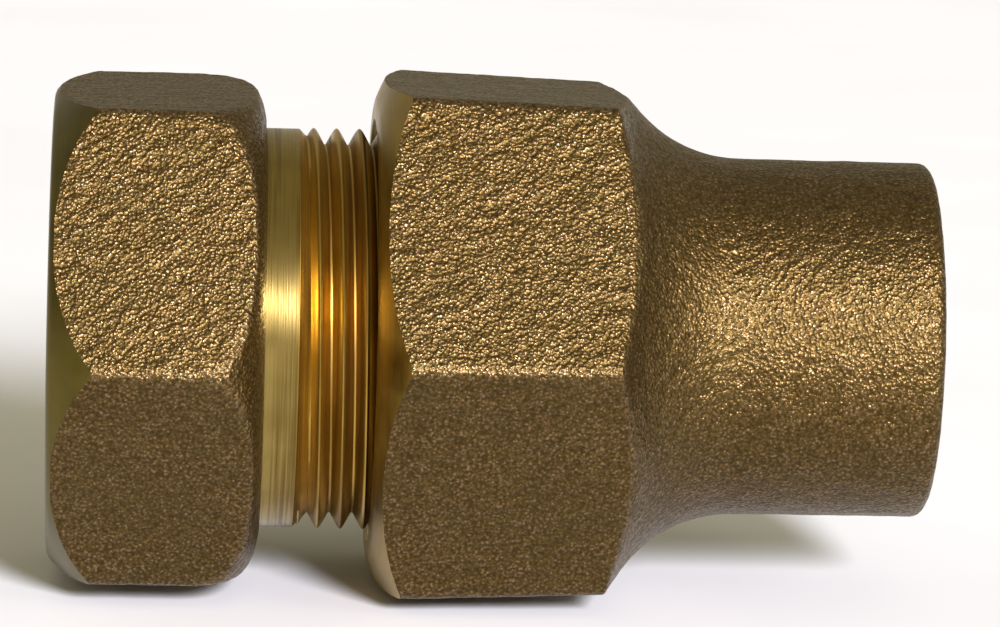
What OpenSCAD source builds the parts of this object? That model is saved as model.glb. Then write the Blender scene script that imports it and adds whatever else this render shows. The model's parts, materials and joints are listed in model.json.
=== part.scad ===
// Service-line pipe union: a threaded-pipe coupling body and a long-neck compression nut,
// with the rubber, washer and grip ring that seal and hold a plain tube inside the nut.
//
// Millimetres. +X runs along the bore from the pipe end to the tube end, +Z is up, and the
// two hexagons lie on their flats. The origin is on the axis, at the first full thread of
// the pipe socket. Stations are measured from the machined end face of the body.

/* [Pipe end] */
// Hexagon of the coupling body, across flats
body_af = 37.5; // [36.5:0.5:39]
// Length of the hexagonal end, as far as its shoulder
hex_len = 16.7; // [16:0.1:18]
// Radius inside the pipe thread, on its crests
pipe_r = 12.0; // [11.5:0.1:12.5]
// Depth of the threaded pipe socket
pipe_depth = 15.5; // [13:0.5:16]
// Radius of the waterway through the middle
water_r = 9.5; // [8:0.25:10]

/* [Joining thread] */
// Major radius of the male thread
thread_r = 15.875; // [15.5:0.125:16]
// Pitch of the thread, fourteen turns to the inch
pitch = 1.8143; // [1.6:0.05:2]
// Radial depth of the thread
thread_depth = 1.28; // [1:0.05:1.4]
// Radial room between the male and the female thread
thread_room = 0.32; // [0.28:0.02:0.5]
// Radius of the turned collar beside the thread
collar_r = 15.8; // [15.4:0.1:16]

/* [Tube end] */
// Radius of every bore that the tube passes through
tube_bore_r = 11.35; // [11.2:0.05:11.45]
// Station of the stop that the tube end meets
tube_stop = 27; // [26:0.5:28]
// Station of the nose of the body
nose_x = 38; // [37:0.5:38]

/* [Nut] */
// Hexagon of the nut across flats, at its mouth
nut_af = 39.6; // [39:0.1:41]
// Narrowing of the nut's hexagon along each millimetre of its length
nut_draft = 0.072; // [0:0.002:0.1]
// Angle by which the nut's hexagon lags the body's
nut_clocking = -2.45; // [-10:0.05:10]
// Station of the nut's mouth
nut_x = 25.25; // [25:0.05:26]
// Station of the end of the neck
neck_end = 69.5; // [66:0.5:76]
// Outside radius of the neck
neck_r = 14.15; // [13.6:0.05:14.6]
// Radius of the hollow sweep from the hexagon to the neck
bell_r = 11.2; // [10:0.1:12]
// Station where that sweep runs out into the neck
bell_end = 54.5; // [54:0.1:56]

/* [Packing] */
// Thickness of the thrust washer
washer_t = 0.8; // [0.6:0.1:0.8]
// Length of the rubber gasket
gasket_len = 5.9; // [5.5:0.1:5.9]
// Length of the grip ring
grip_len = 4.8; // [4:0.1:5]
// Width of the slit in the grip ring
grip_slit = 2.4; // [1.5:0.1:4]
// Radius of the contact spring's coils
coil_r = 0.38; // [0.3:0.02:0.4]

/* [Hidden] */
$fn = 96;

// Pipe end
entry_depth = 1;                       // countersink, and the origin's distance from the face
entry_r = pipe_r + 1.4;                // mouth of the countersink
drill_point = pipe_depth + 1.5;        // end of the cone below the pipe thread
face_r = 17.9;                         // flat of the machined end face
rim_r = 18.85;                         // where the rounded rim meets the chamfer
rim_x = 0.45;
chamfer_run = 1.15;                    // length of the chamfer for each millimetre of radius
crest_r = body_af / 2 / cos(30);       // radius over the hexagon's corners
edge_x = 4.8;                          // half axes of the cast rounding beside the collar
edge_r = 6.0;
edge_base = 15.6;
past = 1;                              // how far a cut reaches beyond the face it opens

// Joining thread
collar_end = 19.3;
thread_start = 20.3;
thread_turns = 7.75;
thread_end = thread_start + thread_turns * pitch;
root_r = thread_r - thread_depth;
core_r = root_r - 0.35;                // plain core, inside the flats of the thread's root
lap = 0.3;                             // how far thread and plain parts reach into each other
points_per_turn = 20;
outside_flats = 1 / cos(180 / points_per_turn);   // puts a faceted hole's flats on its radius
thread_phase = 22.30;                  // station of a crest on the topmost line
female_start = nut_x + 1.15;
female_turns = 4;
female_end = female_start + female_turns * pitch;

// Tube end of the body
socket_end = 33.5;                     // end of the parallel tube socket
seat_r = 11.8;                         // small end of the gasket's seat
mouth_r = 13.4;                        // large end of the gasket's seat
seat_slope = (mouth_r - seat_r) / (nose_x - socket_end);
nose_edge = 0.4;                       // chamfer round the nose

// Nut
mouth_clear_r = 16.6;                  // plain bore at both ends of the female thread
relief_end = 42.2;
chamber_r = 13.5;
chamber_end = 44.5;
cone_end = 49.8;
cone_r = 12.0;
round_r = 15;                          // radius of the curve that chamfers the nut's mouth
round_base = 13.15;                    // radius on which that curve is centred
round_start = 19.4;                    // angle along that curve at which the mouth lies
neck_edge = 0.9;                       // rounding on the end of the neck
neck_chamfer = 0.6;                    // chamfer where the tube goes in

// Packing, stacked back from the nut's cone
gap = 0.1;
ring_room = 0.05;                      // radial room of the washer and teeth round the tube
grip_x = chamber_end + 0.05;
washer_x = grip_x - gap - washer_t;
gasket_x = washer_x - gap - gasket_len;
gasket_r = 13.1;
nose_tip_r = 11.7;
nose_len = (gasket_r - nose_tip_r) / seat_slope;
coil_x = gasket_x + 2.9;
coil_ring_r = tube_bore_r + coil_r + 0.03;
groove_room = 0.05;                    // room of the gasket's groove round the coils
washer_r = gasket_r + 0.1;
grip_r = 13.3;
grip_slope = (chamber_r - cone_r) / (cone_end - chamber_end);
tooth_pitch = 0.9;
tooth_depth = 0.3;
tooth_rise = 0.35;                     // share of the pitch under a tooth's steep side
tooth_margin = 0.2;                    // plain length at each end of the grip ring

bronze = [0.45, 0.36, 0.22];
brass = [0.78, 0.62, 0.28];
rubber = [0.08, 0.08, 0.08];
steel = [0.66, 0.66, 0.64];

// Lays a shape that is drawn along +Z onto the bore axis.
module on_axis() {
    translate([-entry_depth, 0, 0]) rotate([0, 90, 0]) children();
}

// Solid of revolution through [station, radius] points, closed along the axis.
module turned(points) {
    closed = concat([[points[0][0], 0]], points, [[points[len(points) - 1][0], 0]]);
    rotate_extrude() polygon([for (p = closed) [p[1], p[0]]]);
}

// Ring of revolution through [station, radius] points that go round a section.
module ring(points) {
    rotate_extrude() polygon([for (p = points) [p[1], p[0]]]);
}

// Radius of the thread at a fraction of a turn from its crest: a flat crest, straight
// flanks and a flat root.
function thread_radius(turn, crest, depth) =
    let (away = abs(turn - round(turn)),
         land = 1 / points_per_turn,
         fall = (away - land) / (0.5 - 2 * land))
    crest - depth * min(1, max(0, fall));

// Right-hand screw between two stations. Its cross-section is the thread's own profile
// wrapped once round the axis, so a plain twisted extrusion makes the whole helix.
module screw(start, end, crest, depth) {
    turns = (end - start) / pitch;
    first = 180 + 360 * (start - thread_phase) / pitch;
    translate([0, 0, start])
        linear_extrude(height = end - start, twist = -360 * turns,
                       slices = round(turns * points_per_turn), $fn = points_per_turn)
            polygon([for (i = [0 : points_per_turn - 1])
                let (turn = i / points_per_turn,
                     r = thread_radius(turn, crest, depth),
                     a = first + 360 * turn)
                [r * cos(a), r * sin(a)]]);
}

// Outline of the hexagonal end: machined chamfer, cast rounding and collar.
body_outline = [
    [0, face_r],
    [rim_x * 0.3, face_r + (rim_r - face_r) * 0.75],
    [rim_x, rim_r],
    [rim_x + (crest_r - rim_r) * chamfer_run, crest_r],
    for (a = [0 : 16 : 80])
        [hex_len - edge_x * (1 - sin(a)), edge_base + edge_r * cos(a)],
    [hex_len, collar_r],
    [collar_end, collar_r],
    [thread_start, root_r + 0.2],
    [thread_start, core_r],
    [thread_start + lap, core_r]
];

// Waterway of the body: countersink, pipe socket, waterway, tube socket and gasket seat.
body_bore = [
    [-past, entry_r],
    [0, entry_r],
    [entry_depth, pipe_r],
    [pipe_depth, pipe_r],
    [drill_point, water_r],
    [tube_stop, water_r],
    [tube_stop, tube_bore_r],
    [socket_end, tube_bore_r],
    [socket_end, seat_r],
    [nose_x, mouth_r],
    [nose_x + past, mouth_r]
];

module coupling_body() {
    color(bronze) on_axis() difference() {
        union() {
            intersection() {
                turned(body_outline);
                rotate([0, 0, 30])
                    cylinder(h = thread_start + past, r = crest_r, $fn = 6);
            }
            screw(thread_start - lap, thread_end, thread_r, thread_depth);
            turned([[thread_end - lap, core_r], [nose_x - nose_edge, core_r],
                    [nose_x, core_r - nose_edge]]);
        }
        turned(body_bore);
    }
}

// Outline of the nut: rounded chamfer, bell and neck. The hexagon lies between the first two.
nut_outline = concat(
    [for (a = [round_start : 4 : 44])
        [nut_x + round_r * (cos(round_start) - cos(a)), round_base + round_r * sin(a)]],
    [for (a = [10 : 8 : 90])
        [bell_end - bell_r * cos(a), neck_r + bell_r * (1 - sin(a))]],
    [for (a = [0 : 15 : 90])
        [neck_end - neck_edge * (1 - sin(a)), neck_r - neck_edge * (1 - cos(a))]]
);

// Hollow of the nut beyond the female thread: plain bore, packing chamber, cone, neck bore.
nut_bore = [
    [female_end, mouth_clear_r],
    [relief_end, mouth_clear_r],
    [relief_end, chamber_r],
    [chamber_end, chamber_r],
    [cone_end, cone_r],
    [cone_end, tube_bore_r],
    [neck_end - neck_chamfer, tube_bore_r],
    [neck_end, tube_bore_r + neck_chamfer],
    [neck_end + past, tube_bore_r + neck_chamfer]
];

module compression_nut() {
    corner_r = nut_af / 2 / cos(30);
    length = neck_end - nut_x;
    color(bronze) on_axis() difference() {
        intersection() {
            turned(nut_outline);
            translate([0, 0, nut_x]) rotate([0, 0, 30 + nut_clocking])
                cylinder(h = length, r1 = corner_r,
                         r2 = corner_r - nut_draft / 2 / cos(30) * length, $fn = 6);
        }
        turned([[nut_x - past, mouth_clear_r], [female_start, mouth_clear_r]]);
        scale([outside_flats, outside_flats, 1])
            screw(female_start - lap, female_end + lap, thread_r + thread_room,
                  thread_depth);
        turned(nut_bore);
    }
}

// Bevelled rubber gasket, with a groove in its bore for the contact spring.
module sealing_gasket() {
    groove_x = coil_r + groove_room;
    groove_r = coil_ring_r + coil_r + groove_room;
    color(rubber) on_axis() ring([
        [gasket_x, nose_tip_r],
        [gasket_x + nose_len, gasket_r],
        [gasket_x + gasket_len, gasket_r],
        [gasket_x + gasket_len, tube_bore_r],
        [coil_x + groove_x, tube_bore_r],
        [coil_x + groove_x, groove_r],
        [coil_x - groove_x, groove_r],
        [coil_x - groove_x, tube_bore_r],
        [gasket_x, tube_bore_r]
    ]);
}

// Envelope of the garter coil that lies in the gasket's groove.
module contact_spring() {
    color(brass) on_axis() translate([0, 0, coil_x])
        rotate_extrude() translate([coil_ring_r, 0]) circle(r = coil_r, $fn = 32);
}

module thrust_washer() {
    color(brass) on_axis() ring([
        [washer_x, tube_bore_r + ring_room],
        [washer_x, washer_r],
        [washer_x + washer_t, washer_r],
        [washer_x + washer_t, tube_bore_r + ring_room]
    ]);
}

// Split wedge ring: a plain cone outside, sharp teeth inside, and one slit.
module gripper_ring() {
    teeth = floor((grip_len - 2 * tooth_margin) / tooth_pitch);
    tooth_r = tube_bore_r + ring_room;
    color(steel) on_axis() difference() {
        ring(concat(
            [[grip_x, tooth_r + tooth_depth], [grip_x, grip_r],
             [grip_x + grip_len, grip_r - grip_slope * grip_len],
             [grip_x + grip_len, tooth_r]],
            [for (i = [teeth - 1 : -1 : 0], side = [1, 0])
                [grip_x + tooth_margin + tooth_pitch * (i + tooth_rise * side),
                 tooth_r + tooth_depth * side]]
        ));
        translate([tube_bore_r - past, -grip_slit / 2, grip_x - past])
            cube([grip_r - tube_bore_r + 2 * past, grip_slit, grip_len + 2 * past]);
    }
}

coupling_body();
compression_nut();
sealing_gasket();
contact_spring();
thrust_washer();
gripper_ring();
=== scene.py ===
"""The looks of a service-line pipe union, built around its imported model.

Each turned or cast piece is one closed skin of vertex rings laid out around the bore axis,
which is +X. Lengths are in millimetres and stations are measured from the machined end face
of the coupling body, as in the part's own source. Angles are about +X, from +Y towards +Z.
"""

import json
import math

import bmesh
import bpy
import numpy as np
from mathutils import Matrix, Vector, noise


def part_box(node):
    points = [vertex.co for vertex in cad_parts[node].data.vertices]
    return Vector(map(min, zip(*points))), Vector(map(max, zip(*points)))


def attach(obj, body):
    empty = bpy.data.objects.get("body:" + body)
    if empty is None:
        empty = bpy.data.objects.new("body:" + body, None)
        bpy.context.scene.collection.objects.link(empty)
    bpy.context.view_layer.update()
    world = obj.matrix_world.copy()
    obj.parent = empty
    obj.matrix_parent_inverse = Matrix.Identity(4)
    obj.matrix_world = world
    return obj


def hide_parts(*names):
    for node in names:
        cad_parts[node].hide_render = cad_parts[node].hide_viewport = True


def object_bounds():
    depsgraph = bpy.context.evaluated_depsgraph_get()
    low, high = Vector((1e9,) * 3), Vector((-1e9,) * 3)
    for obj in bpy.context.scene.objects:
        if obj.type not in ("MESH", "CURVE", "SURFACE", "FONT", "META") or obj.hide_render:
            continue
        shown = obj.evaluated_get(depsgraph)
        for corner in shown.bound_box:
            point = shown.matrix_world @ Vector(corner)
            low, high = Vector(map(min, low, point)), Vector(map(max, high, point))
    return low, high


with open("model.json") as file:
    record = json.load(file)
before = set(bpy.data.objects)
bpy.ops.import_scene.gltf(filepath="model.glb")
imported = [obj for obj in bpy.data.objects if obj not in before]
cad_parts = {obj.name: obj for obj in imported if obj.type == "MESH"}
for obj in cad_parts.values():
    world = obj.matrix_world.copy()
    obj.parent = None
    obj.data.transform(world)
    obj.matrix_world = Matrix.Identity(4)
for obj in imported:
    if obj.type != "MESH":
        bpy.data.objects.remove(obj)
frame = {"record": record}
cad_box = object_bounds()

MM = 0.001
TURN = 2 * math.pi

# ---------------------------------------------------------------- sizes from the frame

body_low, body_high = (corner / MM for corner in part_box("coupling_body"))
nut_low, nut_high = (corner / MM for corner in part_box("compression_nut"))
gasket_low, gasket_high = (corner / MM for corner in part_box("sealing_gasket"))
spring_low, spring_high = (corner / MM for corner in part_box("contact_spring"))
washer_low, washer_high = (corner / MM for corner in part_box("thrust_washer"))
grip_low, grip_high = (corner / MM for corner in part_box("gripper_ring"))
mounts = {mount["name"]: mount for mount in frame["record"]["mounts"]}

FACE_X = body_low.x                                  # where station 0 lies in the frame
NOSE = body_high.x - FACE_X
NUT_MOUTH = nut_low.x - FACE_X
NECK_END = nut_high.x - FACE_X
BODY_FLAT = body_high.z                              # half of the hexagon across flats
NUT_FLAT = BODY_FLAT + 1.05
NUT_DRAFT = 0.036                                   # each flat's fall per millimetre
NUT_CLOCKING = math.radians(-2.45)
PIPE_R = mounts["pipe_thread"]["dims"]["r_mm"]
TUBE_R = mounts["tube_bore"]["dims"]["r_mm"]

# Joining thread: fourteen turns to the inch, a crest of it at this station on the top line.
PITCH = 1.8143
THREAD_R = 15.875
THREAD_DEPTH = 1.28
THREAD_ROOM = 0.30                                   # radial room for the female thread
CREST_STATION = 22.30
COLLAR_R = 15.8
COLLAR_END = 19.3
SHOULDER = 16.7
THREAD_END = 34.4
CORE_R = 14.25

# Machined end of the body: a flat face, a rounded rim and a slightly hollow chamfer.
FACE_R = 17.9
RIM = (0.45, 18.85)
CHAMFER = [RIM, (1.2, 19.65), (2.0, 20.42), (2.8, 21.05), (3.6, 21.58), (4.8, 22.25)]
BODY_CORNER, NUT_CORNER = 0.9, 1.1                   # rounding of the hexagons' corners

# The cast rounding at the end of the body's hexagon is a quarter of an ellipse.
EDGE_X, EDGE_R = 11.9, 15.6
EDGE_HALF_X, EDGE_HALF_R = 4.8, 6.0

# Inside the body.
ENTRY_DEPTH = 1.0
ENTRY_FLARE = 1.4
ENTRY_R = PIPE_R + ENTRY_FLARE
PIPE_GROOVE, PIPE_RUNOUT = 1.15, 5.0                 # depth of the pipe thread, and its fade
PIPE_DEPTH = 15.5
WATER_R = 9.5
TUBE_STOP = 27.0
SOCKET_END = 33.5
SEAT_R, SEAT_MOUTH_R = 11.8, 13.4
CONE_SLOPE = 1.6 / 4.5                               # of the seat and the gasket's bevel

# Nut: a slightly bulging chamfer at its mouth, a hollow sweep from the hexagon to the neck.
ROUND_R, ROUND_BASE, ROUND_START = 15.0, 13.15, 19.4
COUNTERBORE_R = 16.6
FEMALE_START, FEMALE_TURNS = 26.4, 4
RELIEF_END = 42.2
CHAMBER_R, CHAMBER_END = 13.5, 44.5
CONE_R, CONE_END = 12.0, 49.8
BELL_END, BELL_R, NECK_R = 54.5, 11.2, 14.15
NECK_EDGE = 0.95
BREAK = 0.12                                         # cut back of the turned inner corners
RING_ROOM = 0.05                                     # room round the tube and the coils

BODY_COLUMNS, NUT_COLUMNS = 336, 396                 # vertices in each ring of a casting
BODY_ROWS, NUT_ROWS = 33, 44                         # rings along the cast flats

CAST, MACHINED, BRASS, THREAD = range(4)             # the surfaces of a casting


# ---------------------------------------------------------------- outlines

def ellipse(centre_x, centre_r, half_x, half_r, first, last, count):
    """Points of an elliptical arc between two angles in degrees, 0 being +X and 90 outward."""
    angles = np.radians(np.linspace(first, last, count))
    return [(centre_x + half_x * math.cos(a), centre_r + half_r * math.sin(a)) for a in angles]


def resampled(points, step):
    """The same outline with points no further apart than step, its corners kept."""
    out = [points[0]]
    for (x0, r0), (x1, r1) in zip(points, points[1:]):
        count = max(1, math.ceil(math.hypot(x1 - x0, r1 - r0) / step))
        for i in range(1, count + 1):
            out.append((x0 + (x1 - x0) * i / count, r0 + (r1 - r0) * i / count))
    return out


def softened(points, radius, closed=True, steps=3):
    """The outline with each corner cut back by radius and bent through a short curve."""
    out = []
    last = len(points) - 1
    for i, point in enumerate(points):
        if not closed and i in (0, last):
            out.append(point)
            continue
        here = np.array(point)
        before, after = np.array(points[i - 1]), np.array(points[(i + 1) % len(points)])
        reach_in = min(radius, np.linalg.norm(before - here) * 0.45)
        reach_out = min(radius, np.linalg.norm(after - here) * 0.45)
        start = here + (before - here) / np.linalg.norm(before - here) * reach_in
        end = here + (after - here) / np.linalg.norm(after - here) * reach_out
        for t in np.linspace(0, 1, steps + 1):
            out.append(tuple((1 - t) ** 2 * start + 2 * t * (1 - t) * here + t ** 2 * end))
    return out


def smooth_min(a, b, blend):
    """The lower of two values, with the crossing rounded over a width of blend."""
    share = np.clip(0.5 + 0.5 * (b - a) / blend, 0, 1)
    return b * (1 - share) + a * share - blend * share * (1 - share)


def hexagon(angles, rounding):
    """Radius of a hexagon of unit half-width across flats, with rounded corners at 0, 60..."""
    away = np.abs((angles + math.pi / 6) % (math.pi / 3) - math.pi / 6)
    flat = 1 / np.cos(math.pi / 6 - away)
    centre = (1 - rounding) / math.cos(math.pi / 6)
    tangent = math.atan2(rounding * 0.5, centre + rounding * math.cos(math.pi / 6))
    under = np.maximum(rounding ** 2 - (centre * np.sin(away)) ** 2, 0)
    return np.where(away < tangent, centre * np.cos(away) + np.sqrt(under), flat)


def hexagon_angles(columns, clocking=0.0):
    """Angles of evenly spaced points round a hexagon, with a point on each corner."""
    per_side = columns // 6
    along = np.linspace(-1, 1, per_side, endpoint=False) * math.tan(math.pi / 6)
    side = np.arctan(along) + math.pi / 6
    return np.concatenate([side + k * math.pi / 3 for k in range(6)]) + clocking


# ---------------------------------------------------------------- sand-cast relief

def cast_relief(points):
    """Height of the sand-cast surface at each point: broad lumps, slanting ripples, grains."""
    slant = math.radians(24)
    along, across = (math.cos(slant), math.sin(slant)), (-math.sin(slant), math.cos(slant))
    heights = np.empty(len(points))
    for i, (x, y, z) in enumerate(points.tolist()):
        u = x * along[0] + z * along[1]
        v = x * across[0] + z * across[1]
        lump = noise.noise(Vector((x / 2.6, y / 2.6, z / 2.6)))
        ripple = noise.noise(Vector((u / 2.6 + 7, y / 1.1, v / 0.85)))
        grain = noise.noise(Vector((x / 0.62, y / 0.62 + 3, z / 0.62)))
        heights[i] = 0.040 * lump + 0.045 * ripple + 0.022 * grain
    return heights


# ---------------------------------------------------------------- skins

class Skin:
    """Rings of vertices round the bore axis. Each ring is joined to the one before it."""

    def __init__(self, angles):
        self.angles = angles
        self.rings = []          # (station, radius) arrays, one value for each column
        self.joins = []          # for each ring: zone of its faces, seam shift, ring range
        self.rough = []          # how much of the cast relief each vertex takes
        self.wear = []           # how much each vertex is rubbed bright by wear and lit by a painted highlight

    def ring(self, x, r, zone, rough=0.0, wear=0.0, shift=0, span=None):
        shape = self.angles.shape
        self.rings.append((np.broadcast_to(x, shape), np.broadcast_to(r, shape)))
        self.joins.append((zone, shift, span))
        self.rough.append(np.broadcast_to(rough, shape))
        self.wear.append(np.broadcast_to(wear, shape))

    def run(self, points, step, zone, rough=0.0):
        """Rings through an outline that is the same all round."""
        for x, r in resampled(points, step):
            self.ring(x, r, zone, rough)

    def helix(self, start, end, profile, phases, zone, backwards=False):
        """Rings that follow a right-hand thread, gathered into one ring at each end.

        Ring v lies on the helix that is v turns past the crest, so past the last column it
        meets ring v + 1, which is one thread's worth of rings further on."""
        lead = (self.angles - math.pi / 2) / TURN
        low = math.floor((start - CREST_STATION) / PITCH - lead.max()) - 1
        high = math.ceil((end - CREST_STATION) / PITCH - lead.min()) + 1
        turns = [m + phase for m in range(low, high + 1) for phase in phases]
        rows = []
        for turn in turns:
            x = CREST_STATION + PITCH * (turn + lead)
            x = np.where(x < start + 0.02, start, np.where(x > end - 0.02, end, x))
            rows.append((x, turn))
        while np.all(rows[1][0] == start):
            rows.pop(0)
        while np.all(rows[-2][0] == end):
            rows.pop()
        shift = len(phases)
        if backwards:
            rows.reverse()
            shift = -shift
        first = len(self.rings)
        span = (first, first + len(rows) - 1)
        for i, (x, turn) in enumerate(rows):
            r = profile(x, (x - CREST_STATION) / PITCH - lead)
            self.ring(x, r, zone, shift=shift if i else 0, span=span)

    def mesh(self, name, materials, sharp=38.0):
        """Closes the rings into a loop and returns the object."""
        x = np.array([ring[0] for ring in self.rings])
        r = np.array([ring[1] for ring in self.rings])
        points = np.stack([x + FACE_X, r * np.cos(self.angles), r * np.sin(self.angles)], 2)
        rough, wear = np.array(self.rough), np.array(self.wear)
        height = np.zeros_like(rough)
        taking = rough > 0
        if taking.any():
            normals = self.normals(points)
            height[taking] = cast_relief(points[taking]) * rough[taking]
            points = points + normals * height[..., None]

        rings, columns = x.shape
        column = np.arange(columns - 1)
        faces, zones = [], []
        for b in range(rings):
            a = (b - 1) % rings
            zone, shift, span = self.joins[b]
            quads = np.stack([a * columns + column, a * columns + column + 1,
                              b * columns + column + 1, b * columns + column], 1)
            faces += quads.tolist()
            zones += [zone] * len(quads)
            seam_a, seam_b = a + shift, b + shift
            if not shift or (span[0] <= min(seam_a, seam_b) and max(seam_a, seam_b) <= span[1]):
                last = columns - 1
                faces.append([a * columns + last, seam_a * columns,
                              seam_b * columns, b * columns + last])
                zones.append(zone)

        mesh = bpy.data.meshes.new(name)
        mesh.from_pydata((points * MM).reshape(-1, 3).tolist(), [], faces)
        mesh.polygons.foreach_set("material_index", zones)
        for key, values in (("wear", wear), ("relief", height)):
            layer = mesh.attributes.new(key, "FLOAT", "POINT")
            layer.data.foreach_set("value", values.astype(np.float32).ravel())
        tidy(mesh)
        return placed(name, mesh, materials, sharp)

    def normals(self, points):
        """Outward normals of the rings before they are roughened."""
        along = np.gradient(points, axis=0)
        around = np.roll(points, -1, axis=1) - np.roll(points, 1, axis=1)
        normals = np.cross(around, along)
        length = np.linalg.norm(normals, axis=2, keepdims=True)
        return normals / np.maximum(length, 1e-9)


def tidy(mesh):
    """Merges gathered vertices and drops the faces that had no area."""
    work = bmesh.new()
    work.from_mesh(mesh)
    bmesh.ops.remove_doubles(work, verts=work.verts, dist=0.002 * MM)
    bmesh.ops.dissolve_degenerate(work, edges=work.edges, dist=0.001 * MM)
    work.to_mesh(mesh)
    work.free()


def placed(name, mesh, materials, sharp):
    """A smooth-shaded object of the mesh, creased where it turns by more than sharp."""
    for material in materials:
        mesh.materials.append(material)
    mesh.polygons.foreach_set("use_smooth", [True] * len(mesh.polygons))
    mesh.set_sharp_from_angle(angle=math.radians(sharp))
    obj = bpy.data.objects.new(name, mesh)
    bpy.context.scene.collection.objects.link(obj)
    return obj


def distance_run(outline):
    """Distance along an outline at each of its points."""
    steps = np.hypot(*np.diff(outline, axis=0).T)
    return np.concatenate([[0], np.cumsum(steps)])


def chamfer_reach(outline, column_radius):
    """How far along the outline each column goes before it is as wide as the hexagon.

    column_radius(x) gives the hexagon's radius in each column."""
    length = distance_run(outline)
    excess = outline[:, 1][:, None] - column_radius(outline[:, 0][:, None])
    past = np.argmax(excess >= 0, axis=0)
    column = np.arange(excess.shape[1])
    before, after = excess[past - 1, column], excess[past, column]
    share = before / (before - after)
    return length[past - 1] + share * (length[past] - length[past - 1])


def chamfer_rings(skin, outline, column_radius, rows, zone):
    """Rings up an outline that end, in each column, where it meets the roughened hexagon.

    Returns the stations where the two meet."""
    outline = np.array(resampled(outline, 0.05))
    length = distance_run(outline)
    smooth_x = np.interp(chamfer_reach(outline, column_radius), length, outline[:, 0])
    smooth_r = column_radius(smooth_x)
    at = np.stack([smooth_x + FACE_X, smooth_r * np.cos(skin.angles),
                   smooth_r * np.sin(skin.angles)], 1)
    lift = cast_relief(at)
    reach = chamfer_reach(outline, lambda x: column_radius(x) + lift)
    for k in range(1, rows + 1):
        at = reach * k / rows
        skin.ring(np.interp(at, length, outline[:, 0]), np.interp(at, length, outline[:, 1]),
                  zone)
    return np.interp(reach, length, outline[:, 0])


def thread_fall(turn):
    """Share of the thread's depth lost at a fraction of a turn from its rounded crest."""
    away = np.abs(turn - np.round(turn))
    return np.clip(np.sqrt(away ** 2 + 0.012) - 0.11, 0, 0.36) / 0.36


COARSE_PHASES = [-0.13, -0.04, 0.04, 0.13, 0.3, 0.46, 0.54, 0.7]
FINE_PHASES = [-0.18, -0.11, -0.05, 0, 0.05, 0.11, 0.18, 0.27, 0.37, 0.46, 0.54, 0.63, 0.73]


# ---------------------------------------------------------------- the coupling body

def corner_wear_and_highlight(angles, clocking):
    """How near each column is to a corner of the hexagon, from 0 to 1: where the corners are
    rubbed bright by wear and given a painted highlight.
    """
    away = np.abs((angles - clocking + math.pi / 6) % (math.pi / 3) - math.pi / 6)
    return np.exp(-(away / 0.018) ** 2)


def coupling_body(materials):
    """Body casting, from its machined end face to its nose and back through its bores."""
    angles = hexagon_angles(BODY_COLUMNS)
    shape = hexagon(angles, BODY_CORNER / BODY_FLAT)
    skin = Skin(angles)
    corners = corner_wear_and_highlight(angles, 0)

    # Machined end face, rounded rim and chamfer up to the cast flats.
    skin.run([(0, ENTRY_R), (0, FACE_R)], 1.4, MACHINED)
    skin.run([(0.03, 18.2), (0.16, 18.52), RIM], 9, MACHINED)
    flat = BODY_FLAT * shape
    meet = chamfer_rings(skin, CHAMFER, lambda x: flat, 12, MACHINED)

    # Cast hexagon, its cast rounding and the shoulder down to the collar.
    # The corners, and further on the ridge where the flats meet the rounding, are brightened
    # partly as wear and partly as a painted highlight.
    for k in range(1, BODY_ROWS + 1):
        skin.ring(meet + (EDGE_X - meet) * k / BODY_ROWS, flat, CAST, rough=1, wear=corners)
    edge = ellipse(EDGE_X, EDGE_R, EDGE_HALF_X, EDGE_HALF_R, 90, 2, 24)
    for x, r in edge[1:]:
        rounded = smooth_min(flat, r, 0.5)
        ridge = np.clip(1 - np.abs(flat - r) / 0.5, 0, 1)
        fade = min(1, (r - COLLAR_R) / 0.6 + 0.1)
        skin.ring(x, rounded, CAST, rough=max(fade, 0), wear=np.maximum(
            corners * (r > flat), ridge * 0.8))

    # Turned collar, male thread and plain nose.
    skin.run([(SHOULDER, COLLAR_R), (SHOULDER + 0.06, COLLAR_R), (COLLAR_END - 0.05, COLLAR_R)],
             1.0, BRASS)

    def male(x, turn):
        thread = THREAD_R - THREAD_DEPTH * thread_fall(turn)
        start = np.clip((x - COLLAR_END - 0.25) / 0.2, 0, 1)
        thread = CORE_R + (thread - CORE_R) * start
        thread = np.minimum(thread, CORE_R + np.maximum(THREAD_END - x, 0))
        return np.maximum(thread, np.maximum(COLLAR_R - (x - COLLAR_END), CORE_R))

    skin.helix(COLLAR_END, THREAD_END, male, FINE_PHASES, THREAD)
    nose = [(THREAD_END + 0.2, CORE_R), (NOSE - 0.4, CORE_R), (NOSE, CORE_R - 0.4),
            (NOSE, SEAT_MOUTH_R), (SOCKET_END, SEAT_R), (SOCKET_END, TUBE_R),
            (TUBE_STOP, TUBE_R), (TUBE_STOP, WATER_R), (PIPE_DEPTH + 1.5, WATER_R),
            (PIPE_DEPTH + 0.1, PIPE_R)]
    skin.run(softened(nose, BREAK, closed=False, steps=2), 2.5, BRASS)

    # Pipe thread, which runs out towards the bottom of its socket.
    def pipe(x, turn):
        depth = PIPE_GROOVE * np.clip((PIPE_DEPTH - x) / PIPE_RUNOUT, 0, 1)
        groove = PIPE_R + depth * thread_fall(turn + 0.5)
        return np.maximum(groove, PIPE_R + ENTRY_FLARE * (1 - x / ENTRY_DEPTH))

    skin.helix(0.12, PIPE_DEPTH, pipe, COARSE_PHASES, THREAD, backwards=True)
    return skin.mesh("coupling_body_skin", materials)


# ---------------------------------------------------------------- the nut

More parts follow.
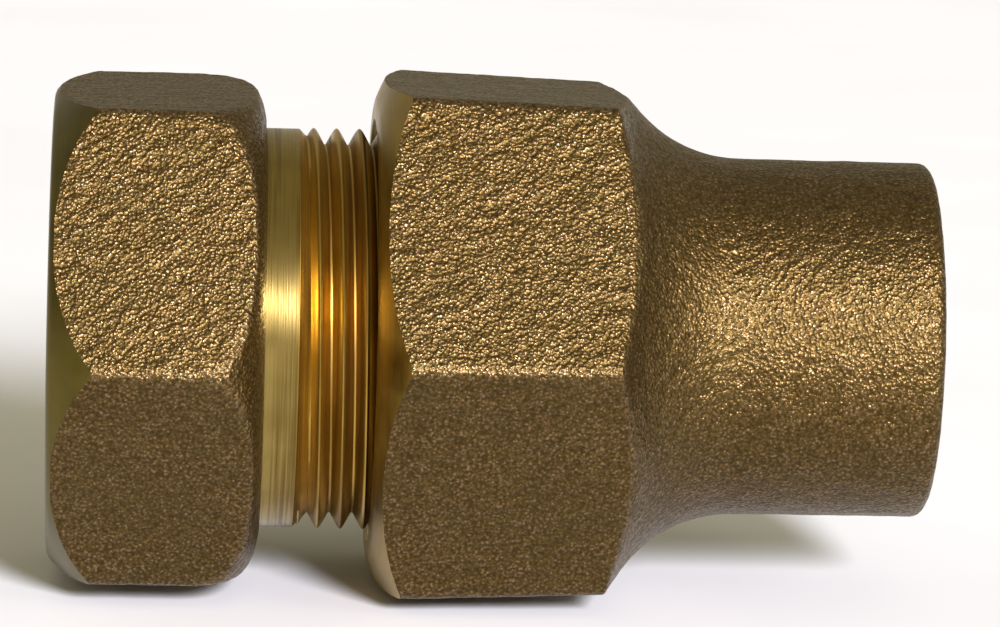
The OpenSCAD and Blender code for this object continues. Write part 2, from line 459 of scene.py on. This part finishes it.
def compression_nut(materials):
    """Nut casting, from its machined mouth to its neck and back through its bores."""
    angles = hexagon_angles(NUT_COLUMNS, NUT_CLOCKING)
    shape = hexagon(angles - NUT_CLOCKING, NUT_CORNER / NUT_FLAT)
    skin = Skin(angles)
    corners = corner_wear_and_highlight(angles, NUT_CLOCKING)

    def flat_at(x):
        return (NUT_FLAT - NUT_DRAFT * (x - NUT_MOUTH)) * shape

    # Machined mouth and its rounded chamfer.
    skin.run([(NUT_MOUTH, COUNTERBORE_R + 0.15), (NUT_MOUTH, FACE_R)], 1.4, MACHINED)
    centre_x = NUT_MOUTH + ROUND_R * math.cos(math.radians(ROUND_START))
    arc = ellipse(centre_x, ROUND_BASE, ROUND_R, ROUND_R, 180 - ROUND_START - 0.5, 135, 60)
    meet = chamfer_rings(skin, arc, flat_at, 15, MACHINED)

    # Cast hexagon, bell and neck.
    bell_top = BELL_END - BELL_R + 0.15
    # The corners, and further on the ridge where the flats meet the sweep, are brightened
    # partly as wear and partly as a painted highlight.
    for k in range(1, NUT_ROWS + 1):
        x = meet + (bell_top - meet) * k / NUT_ROWS
        skin.ring(x, flat_at(x), CAST, rough=1, wear=corners * 0.7)
    sweep = ellipse(BELL_END, NECK_R + BELL_R, BELL_R, BELL_R, 189.5, 270, 52)
    for x, r in sweep:
        if x <= bell_top:
            continue
        rounded = smooth_min(flat_at(x), r, 0.9)
        ridge = np.clip(1 - np.abs(flat_at(x) - r) / 0.7, 0, 1)
        smoother = 0.55 + 0.45 * min(1, abs(x - 49) / 5)
        skin.ring(x, rounded, CAST, rough=smoother, wear=np.maximum(
            corners * (r > flat_at(x)) * 0.7, ridge * 0.6))
    neck = [(BELL_END + 0.35, NECK_R), (NECK_END - NECK_EDGE, NECK_R - 0.04)]
    skin.run(neck, 0.36, CAST, rough=0.85)
    skin.run(ellipse(NECK_END - NECK_EDGE, NECK_R - 0.04 - NECK_EDGE, NECK_EDGE, NECK_EDGE,
                     75, 0, 5), 0.4, CAST, rough=0.6)
    skin.run([(NECK_END, NECK_R - 1.4), (NECK_END, TUBE_R + 0.7)], 0.5, CAST, rough=0.5)

    # Bore, grip cone, packing chamber and relief, then the female thread and counterbore.
    inside = [(NECK_END - 0.02, TUBE_R + 0.6), (NECK_END - 0.6, TUBE_R), (CONE_END, TUBE_R),
              (CONE_END, CONE_R), (CHAMBER_END, CHAMBER_R), (RELIEF_END, CHAMBER_R),
              (RELIEF_END, COUNTERBORE_R)]
    skin.run(softened(inside, BREAK, closed=False, steps=2), 3.0, BRASS)
    female_end = FEMALE_START + FEMALE_TURNS * PITCH

    def female(x, turn):
        thread = THREAD_R + THREAD_ROOM - THREAD_DEPTH * thread_fall(turn)
        edge = np.minimum(x - FEMALE_START, female_end - x)
        return np.minimum(np.maximum(thread, COUNTERBORE_R - edge), COUNTERBORE_R)

    skin.helix(FEMALE_START, female_end, female, COARSE_PHASES, THREAD, backwards=True)
    skin.run([(NUT_MOUTH + 0.2, COUNTERBORE_R)], 3, BRASS)
    return skin.mesh("compression_nut_skin", materials)


# ---------------------------------------------------------------- the packing

def turned_ring(name, outline, columns, rounding, step, material):
    """A ring of revolution with softly broken edges, from an outline in frame stations."""
    skin = Skin(np.linspace(0, TURN, columns, endpoint=False))
    local = [(x - FACE_X, r) for x, r in outline]
    loop = softened(local, rounding)
    for x, r in resampled(loop + [loop[0]], step)[:-1]:
        skin.ring(x, r, 0)
    return skin.mesh(name, [material], sharp=60)


def sealing_gasket(material):
    """Bevelled rubber packing with a groove in its bore for the contact spring."""
    inner, outer = TUBE_R, gasket_high.y
    groove_low, groove_high = spring_low.x - RING_ROOM, spring_high.x + RING_ROOM
    groove_r = spring_high.y + RING_ROOM
    tip_r = 11.7
    bevel_end = gasket_low.x + (outer - tip_r) / CONE_SLOPE
    outline = [(gasket_low.x, inner), (gasket_low.x, tip_r), (bevel_end, outer),
               (gasket_high.x, outer), (gasket_high.x, inner), (groove_high, inner),
               (groove_high, groove_r), (groove_low, groove_r), (groove_low, inner)]
    return turned_ring("sealing_gasket_skin", outline, 192, 0.16, 0.5, material)


def thrust_washer(material):
    """Flat ring that keeps the turning nut from dragging the gasket round."""
    inner, outer = TUBE_R + RING_ROOM, washer_high.y
    outline = [(washer_low.x, inner), (washer_low.x, outer), (washer_high.x, outer),
               (washer_high.x, inner)]
    return turned_ring("thrust_washer_skin", outline, 160, 0.14, 0.6, material)


def contact_spring(material):
    """A garter spring: a close coil of fine wire bent round into a ring."""
    wire, sides, per_coil = 0.085, 6, 12
    coil_r = (spring_high.x - spring_low.x) / 2 - wire
    ring_r = spring_high.y - coil_r - wire
    centre_x = (spring_high.x + spring_low.x) / 2
    coils = int(TURN * ring_r / 0.235)
    count = coils * per_coil
    at = np.arange(count) / count * TURN
    winding = at * coils
    radial = np.stack([0 * at, np.cos(at), np.sin(at)], 1)
    axial = np.array([1.0, 0.0, 0.0])
    spoke = radial * np.cos(winding)[:, None] + axial * np.sin(winding)[:, None]
    centres = radial * ring_r + axial * centre_x + spoke * coil_r
    ahead = np.roll(centres, -1, axis=0) - np.roll(centres, 1, axis=0)
    ahead /= np.linalg.norm(ahead, axis=1, keepdims=True)
    side = np.cross(ahead, spoke)
    points = []
    for k in range(sides):
        a = TURN * k / sides
        points.append(centres + wire * (math.cos(a) * spoke + math.sin(a) * side))
    points = np.stack(points, 1)
    faces = []
    for i in range(count):
        j = (i + 1) % count
        for k in range(sides):
            m = (k + 1) % sides
            faces.append((i * sides + k, i * sides + m, j * sides + m, j * sides + k))
    mesh = bpy.data.meshes.new("contact_spring_skin")
    mesh.from_pydata((points * MM).reshape(-1, 3).tolist(), [], faces)
    return placed("contact_spring_skin", mesh, [material], 80)


def gripper_ring(material):
    """Split wedge ring with saw teeth inside. The slit faces down and has parallel sides."""
    low, high = grip_low.x, grip_high.x
    tooth_r, tooth_depth, tooth_pitch, half_slit = TUBE_R + RING_ROOM, 0.3, 0.9, 1.2
    outer_low, slope = grip_high.z, 1.5 / 5.3
    teeth = int((high - low - 0.4) / tooth_pitch)
    outline = softened([(low, tooth_r + tooth_depth), (low, outer_low),
                        (high, outer_low - slope * (high - low)), (high, tooth_r)],
                       0.12, closed=False)
    for i in reversed(range(teeth)):
        start = low + 0.2 + tooth_pitch * i
        outline.append((start + 0.35 * tooth_pitch, tooth_r + tooth_depth))
        outline.append((start, tooth_r))
    columns = 150
    share = np.linspace(0, 1, columns)
    rows = []
    for x, r in outline:
        edge = math.asin(half_slit / r)
        angle = -math.pi / 2 + edge + share * (TURN - 2 * edge)
        rows.append(np.stack([np.full(columns, x), r * np.cos(angle), r * np.sin(angle)], 1))
    points = np.stack(rows)
    count = len(rows)
    faces = []
    for i in range(count):
        j = (i + 1) % count
        for k in range(columns - 1):
            faces.append((i * columns + k, i * columns + k + 1,
                          j * columns + k + 1, j * columns + k))
    faces.append([i * columns for i in range(count)])
    faces.append([i * columns + columns - 1 for i in reversed(range(count))])
    mesh = bpy.data.meshes.new("gripper_ring_skin")
    mesh.from_pydata((points * MM).reshape(-1, 3).tolist(), [], faces)
    work = bmesh.new()
    work.from_mesh(mesh)
    bmesh.ops.recalc_face_normals(work, faces=work.faces)
    work.to_mesh(mesh)
    work.free()
    return placed("gripper_ring_skin", mesh, [material], 30)


# ---------------------------------------------------------------- materials

class Graph:
    """Short calls for building one material's nodes."""

    def __init__(self, name):
        self.material = bpy.data.materials.new(name)
        self.material.use_nodes = True
        self.nodes = self.material.node_tree.nodes
        self.links = self.material.node_tree.links
        self.shader = self.nodes["Principled BSDF"]
        self.place = self.nodes.new("ShaderNodeTexCoord").outputs["Object"]

    def feed(self, socket, value):
        if isinstance(value, bpy.types.NodeSocket):
            self.links.new(value, socket)
        else:
            socket.default_value = value

    def set(self, **values):
        """Sets or links inputs of the main shader, an underscore standing for a space."""
        for key, value in values.items():
            self.feed(self.shader.inputs[key.replace("_", " ")], value)

    def stretched(self, stretch, turn=(0, 0, 0)):
        """Coordinates that draw a texture out along axes turned by some degrees."""
        node = self.nodes.new("ShaderNodeMapping")
        node.vector_type = "TEXTURE"
        self.feed(node.inputs["Vector"], self.place)
        node.inputs["Rotation"].default_value = [math.radians(a) for a in turn]
        node.inputs["Scale"].default_value = stretch
        return node.outputs["Vector"]

    def noise(self, size, detail=2.0, rough=0.5, place=None):
        """Noise whose features are about size millimetres across."""
        node = self.nodes.new("ShaderNodeTexNoise")
        self.feed(node.inputs["Vector"], place or self.place)
        node.inputs["Scale"].default_value = 1 / (size * MM)
        node.inputs["Detail"].default_value = detail
        node.inputs["Roughness"].default_value = rough
        node.inputs["Distortion"].default_value = 0
        return node.outputs["Fac"]

    def cells(self, size, smooth):
        """Distance to the nearest of scattered points about size millimetres apart."""
        node = self.nodes.new("ShaderNodeTexVoronoi")
        node.feature = "SMOOTH_F1"
        self.feed(node.inputs["Vector"], self.place)
        node.inputs["Scale"].default_value = 1 / (size * MM)
        node.inputs["Smoothness"].default_value = smooth
        return node.outputs["Distance"]

    def attribute(self, name):
        node = self.nodes.new("ShaderNodeAttribute")
        node.attribute_name = name
        return node.outputs["Fac"]

    def math(self, operation, a, b=0.0, clamp=False):
        node = self.nodes.new("ShaderNodeMath")
        node.operation = operation
        node.use_clamp = clamp
        self.feed(node.inputs[0], a)
        self.feed(node.inputs[1], b)
        return node.outputs[0]

    def span(self, value, low, high, to_low=0.0, to_high=1.0):
        """Maps low to high onto to_low to to_high, held at both ends."""
        node = self.nodes.new("ShaderNodeMapRange")
        self.feed(node.inputs["Value"], value)
        for key, number in zip(("From Min", "From Max", "To Min", "To Max"),
                               (low, high, to_low, to_high)):
            node.inputs[key].default_value = number
        return node.outputs["Result"]

    def ramp(self, value, *stops):
        """Colours by value. Each stop is a position and an RGB colour."""
        node = self.nodes.new("ShaderNodeValToRGB")
        self.feed(node.inputs["Fac"], value)
        elements = node.color_ramp.elements
        while len(elements) < len(stops):
            elements.new(0.5)
        for element, (position, colour) in zip(elements, stops):
            element.position = position
            element.color = (*colour, 1)
        return node.outputs["Color"]

    def mix(self, share, a, b):
        node = self.nodes.new("ShaderNodeMix")
        node.data_type = "RGBA"
        self.feed(node.inputs["Factor"], share)
        self.feed(node.inputs["A"], a if isinstance(a, bpy.types.NodeSocket) else (*a, 1))
        self.feed(node.inputs["B"], b if isinstance(b, bpy.types.NodeSocket) else (*b, 1))
        return node.outputs["Result"]

    def bump(self, height, depth, before=None):
        """Bends the normal by a height of depth millimetres where height goes from 0 to 1."""
        node = self.nodes.new("ShaderNodeBump")
        node.inputs["Strength"].default_value = 1
        node.inputs["Distance"].default_value = depth * MM
        self.feed(node.inputs["Height"], height)
        if before:
            self.feed(node.inputs["Normal"], before)
        return node.outputs["Normal"]


def cast_bronze():
    """Sand-cast bronze: fine pebbly grain with lighter tips as painted glints and darker
    hollows as painted shade, slanting ripples, brown stain, and edges rubbed bright by wear
    with a painted highlight.
    """
    g = Graph("cast_bronze")
    grain = g.noise(0.27, detail=2, rough=0.5)
    pebble = g.math("SUBTRACT", 1.0, g.cells(0.27, 0.15))
    ripple = g.noise(0.85, detail=1.5, place=g.stretched((2.0, 1.0, 0.9), (0, -38, 0)))
    fine = g.math("ADD", g.math("MULTIPLY", grain, 0.6), g.math("MULTIPLY", pebble, 0.4))
    height = g.math("ADD", g.math("MULTIPLY", fine, 0.48), g.math("MULTIPLY", ripple, 0.52))
    tip = g.math("ADD", g.math("MULTIPLY", fine, 0.92), g.math("MULTIPLY", ripple, 0.08))
    # Tip value, raised by the relief's bumps. The ramp below paints the tips lighter and pinker
    # as painted glints, and the hollows and the relief's dips darker as painted shade.
    tip = g.math("ADD", tip, g.span(g.attribute("relief"), -0.08, 0.08, -0.03, 0.03))
    colour = g.ramp(tip, (0.36, (0.053, 0.030, 0.006)), (0.50, (0.092, 0.056, 0.014)),
                    (0.60, (0.144, 0.087, 0.032)), (0.68, (0.260, 0.166, 0.092)))
    stain = g.span(g.noise(6.5, detail=3), 0.35, 0.7)
    colour = g.mix(g.math("MULTIPLY", stain, 0.25), colour, (0.066, 0.050, 0.014))
    # Corners and ridges are mixed towards bright gold, partly as wear and partly as a painted
    # highlight.
    wear = g.math("MULTIPLY", g.attribute("wear"), g.span(grain, 0.42, 0.62), clamp=True)
    colour = g.mix(g.math("MULTIPLY", wear, 0.5), colour, (0.26, 0.18, 0.09))
    g.set(Base_Color=colour, Metallic=0.9)
    g.set(Roughness=g.span(tip, 0.42, 0.66, 0.44, 0.29))
    g.set(Normal=g.bump(height, 0.36))
    return g.material


def machined_bronze(name, low, high):
    """Turned face of a casting: fine tool marks round the axis and a few pores."""
    g = Graph(name)
    marks = g.noise(0.12, detail=2, place=g.stretched((1, 50, 50)))
    cloud = g.noise(3.5, detail=3)
    pores = g.span(g.cells(2.6, 0.0), 0.0, 0.05, 0.0, 1.0)
    colour = g.ramp(cloud, (0.3, low), (0.7, high))
    colour = g.mix(g.span(marks, 0.3, 0.7, 0.0, 0.3), colour, (0.10, 0.070, 0.014))
    colour = g.mix(pores, (0.02, 0.014, 0.006), colour)
    g.set(Base_Color=colour, Metallic=1.0)
    g.set(Roughness=g.span(cloud, 0.3, 0.7, 0.30, 0.42))
    g.set(Normal=g.bump(pores, 0.05, before=g.bump(marks, 0.006)))
    return g.material


def turned_brass(name, low, high, dark, gloss):
    """Bright turned surface with streaks round the axis, some of them dark."""
    g = Graph(name)
    marks = g.noise(0.09, detail=2, place=g.stretched((1, 65, 65)))
    bands = g.noise(0.42, detail=3, rough=0.7, place=g.stretched((1, 90, 90)))
    cloud = g.noise(4, detail=2)
    colour = g.ramp(cloud, (0.3, low), (0.7, high))
    colour = g.mix(g.span(bands, 0.44, 0.60, 0.0, 0.8), colour, dark)
    g.set(Base_Color=colour, Metallic=1.0)
    g.set(Roughness=g.span(bands, 0.35, 0.65, gloss, gloss + 0.14))
    g.set(Normal=g.bump(marks, 0.006))
    return g.material


def black_rubber():
    """Moulded packing rubber with a faint bloom."""
    g = Graph("packing_rubber")
    bloom = g.span(g.noise(2.2, detail=4), 0.4, 0.75, 0.0, 0.5)
    grain = g.noise(0.12, detail=2)
    colour = g.mix(bloom, (0.012, 0.012, 0.013), (0.050, 0.050, 0.052))
    g.set(Base_Color=colour, Specular_IOR_Level=0.35)
    g.set(Roughness=g.span(grain, 0.3, 0.7, 0.55, 0.75))
    g.set(Normal=g.bump(grain, 0.02))
    return g.material


def spring_wire():
    """Drawn bronze wire, a little tarnished between its coils."""
    g = Graph("spring_wire")
    tarnish = g.noise(0.5, detail=3)
    colour = g.ramp(tarnish, (0.35, (0.42, 0.27, 0.09)), (0.65, (0.86, 0.62, 0.26)))
    g.set(Base_Color=colour, Metallic=1.0, Roughness=g.span(tarnish, 0.3, 0.7, 0.34, 0.2))
    g.set(Normal=g.bump(g.noise(0.06), 0.003))
    return g.material


def stamped_brass():
    """Washer stamped from rolled sheet: straight rolling lines and scuffs."""
    g = Graph("stamped_brass")
    rolled = g.noise(0.16, detail=2, place=g.stretched((1, 1, 25)))
    scuff = g.noise(1.6, detail=4, rough=0.7)
    colour = g.ramp(scuff, (0.3, (0.60, 0.40, 0.12)), (0.7, (0.86, 0.64, 0.26)))
    g.set(Base_Color=colour, Metallic=1.0, Roughness=g.span(scuff, 0.3, 0.7, 0.38, 0.22))
    g.set(Normal=g.bump(rolled, 0.004))
    return g.material


def turned_steel():
    """Stainless grip ring with turning marks and slightly blued teeth."""
    g = Graph("turned_steel")
    marks = g.noise(0.1, detail=2, place=g.stretched((1, 50, 50)))
    cloud = g.noise(2.5, detail=3)
    colour = g.ramp(cloud, (0.3, (0.44, 0.44, 0.45)), (0.7, (0.62, 0.61, 0.59)))
    g.set(Base_Color=colour, Metallic=1.0, Roughness=g.span(marks, 0.3, 0.7, 0.24, 0.36))
    g.set(Normal=g.bump(marks, 0.006))
    return g.material


# ---------------------------------------------------------------- the pieces

cast = cast_bronze()
# Two copies of one machined bronze: the body's chamfer is dark olive as painted shade, and the
# nut's chamfer is golden as a painted reflection of the body's shoulder.
olive_face = machined_bronze("olive_face", (0.090, 0.069, 0.012), (0.135, 0.105, 0.024))
golden_face = machined_bronze("golden_face", (0.30, 0.19, 0.034), (0.42, 0.28, 0.060))
collar = turned_brass("collar_brass", (0.27, 0.19, 0.050), (0.36, 0.26, 0.082),
                      (0.13, 0.082, 0.020), 0.17)
threads = turned_brass("thread_brass", (0.40, 0.255, 0.044), (0.52, 0.34, 0.078),
                       (0.17, 0.085, 0.014), 0.28)
PIECES = [
    (coupling_body([cast, olive_face, collar, threads]), "coupling", "coupling_body",
     "body_bronze"),
    (compression_nut([cast, golden_face, collar, threads]), "nut", "compression_nut",
     "nut_bronze"),
    (sealing_gasket(black_rubber()), "packing", "sealing_gasket", "gasket_rubber"),
    (contact_spring(spring_wire()), "packing", "contact_spring", "spring_brass"),
    (thrust_washer(stamped_brass()), "packing", "thrust_washer", "washer_brass"),
    (gripper_ring(turned_steel()), "packing", "gripper_ring", "grip_steel"),
]
for piece, body, node, slot in PIECES:
    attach(piece, body)
    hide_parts(node)


# ---------------------------------------------------------------- stage, light and camera

def stage_floor():
    """A wide plain floor just under the lowest point of the part."""
    low = cad_box[0][2] - 0.0004
    size = 4.0
    mesh = bpy.data.meshes.new("floor")
    corners = [(-size, -size, low), (size, -size, low), (size, size, low), (-size, size, low)]
    mesh.from_pydata(corners, [], [(0, 1, 2, 3)])
    g = Graph("pale_floor")
    shade = g.ramp(g.noise(40, detail=2), (0.3, (0.80, 0.80, 0.79)), (0.7, (0.84, 0.84, 0.83)))
    g.set(Base_Color=shade, Roughness=0.9, Specular_IOR_Level=0.1)
    mesh.materials.append(g.material)
    obj = bpy.data.objects.new("floor", mesh)
    bpy.context.scene.collection.objects.link(obj)


def key_light():
    """A broad soft key from beside the camera, far enough off to light the floor evenly."""
    data = bpy.data.lights.new("key", "SUN")
    data.energy = 6.8
    data.angle = math.radians(14)
    data.color = (0.95, 0.94, 1.06)
    lift, side = math.radians(23), math.radians(18)
    towards = Vector((math.sin(side) * math.cos(lift), -math.cos(side) * math.cos(lift),
                      math.sin(lift)))
    obj = bpy.data.objects.new("key", data)
    obj.matrix_world = towards.to_track_quat("Z", "Y").to_matrix().to_4x4()
    bpy.context.scene.collection.objects.link(obj)


def softbox(name, place, target, size, power, colour):
    """A rectangular area lamp at place, facing target, both in millimetres."""
    data = bpy.data.lights.new(name, "AREA")
    data.shape = "RECTANGLE"
    data.size, data.size_y = size[0] * MM, size[1] * MM
    data.energy = power
    data.color = colour
    obj = bpy.data.objects.new(name, data)
    place, target = Vector(place) * MM, Vector(target) * MM
    obj.matrix_world = Matrix.Translation(place) @ (
        (target - place).to_track_quat("-Z", "Y").to_matrix().to_4x4())
    bpy.context.scene.collection.objects.link(obj)


def sky():
    """Pale surroundings."""
    world = bpy.data.worlds.new("surroundings")
    world.use_nodes = True
    background = world.node_tree.nodes["Background"]
    background.inputs["Color"].default_value = (1.0, 0.92, 0.66, 1)
    background.inputs["Strength"].default_value = 0.42
    bpy.context.scene.world = world


def camera():
    """A long lens, a little above the axis and a little to the pipe end's side."""
    lift, yaw, roll = math.radians(10.3), math.radians(3.4), math.radians(1.75)
    distance, target = 450.0, Vector((34.55, 0, 1.47))
    back = Vector((-math.sin(yaw) * math.cos(lift), -math.cos(yaw) * math.cos(lift),
                   math.sin(lift)))
    data = bpy.data.cameras.new("camera")
    data.sensor_width = 36
    data.lens = 203.8
    data.clip_start, data.clip_end = 0.01, 20
    obj = bpy.data.objects.new("camera", data)
    turn = back.to_track_quat("Z", "Y").to_matrix().to_4x4() @ Matrix.Rotation(roll, 4, "Z")
    obj.matrix_world = Matrix.Translation((target + back * distance) * MM) @ turn
    bpy.context.scene.collection.objects.link(obj)
    bpy.context.scene.camera = obj


stage_floor()
key_light()
softbox("fill", (420, -300, 160), (33, 0, 0), (200, 260), 0.5, (1.0, 0.98, 0.95))
sky()
camera()
bpy.context.scene.view_settings.view_transform = "Standard"
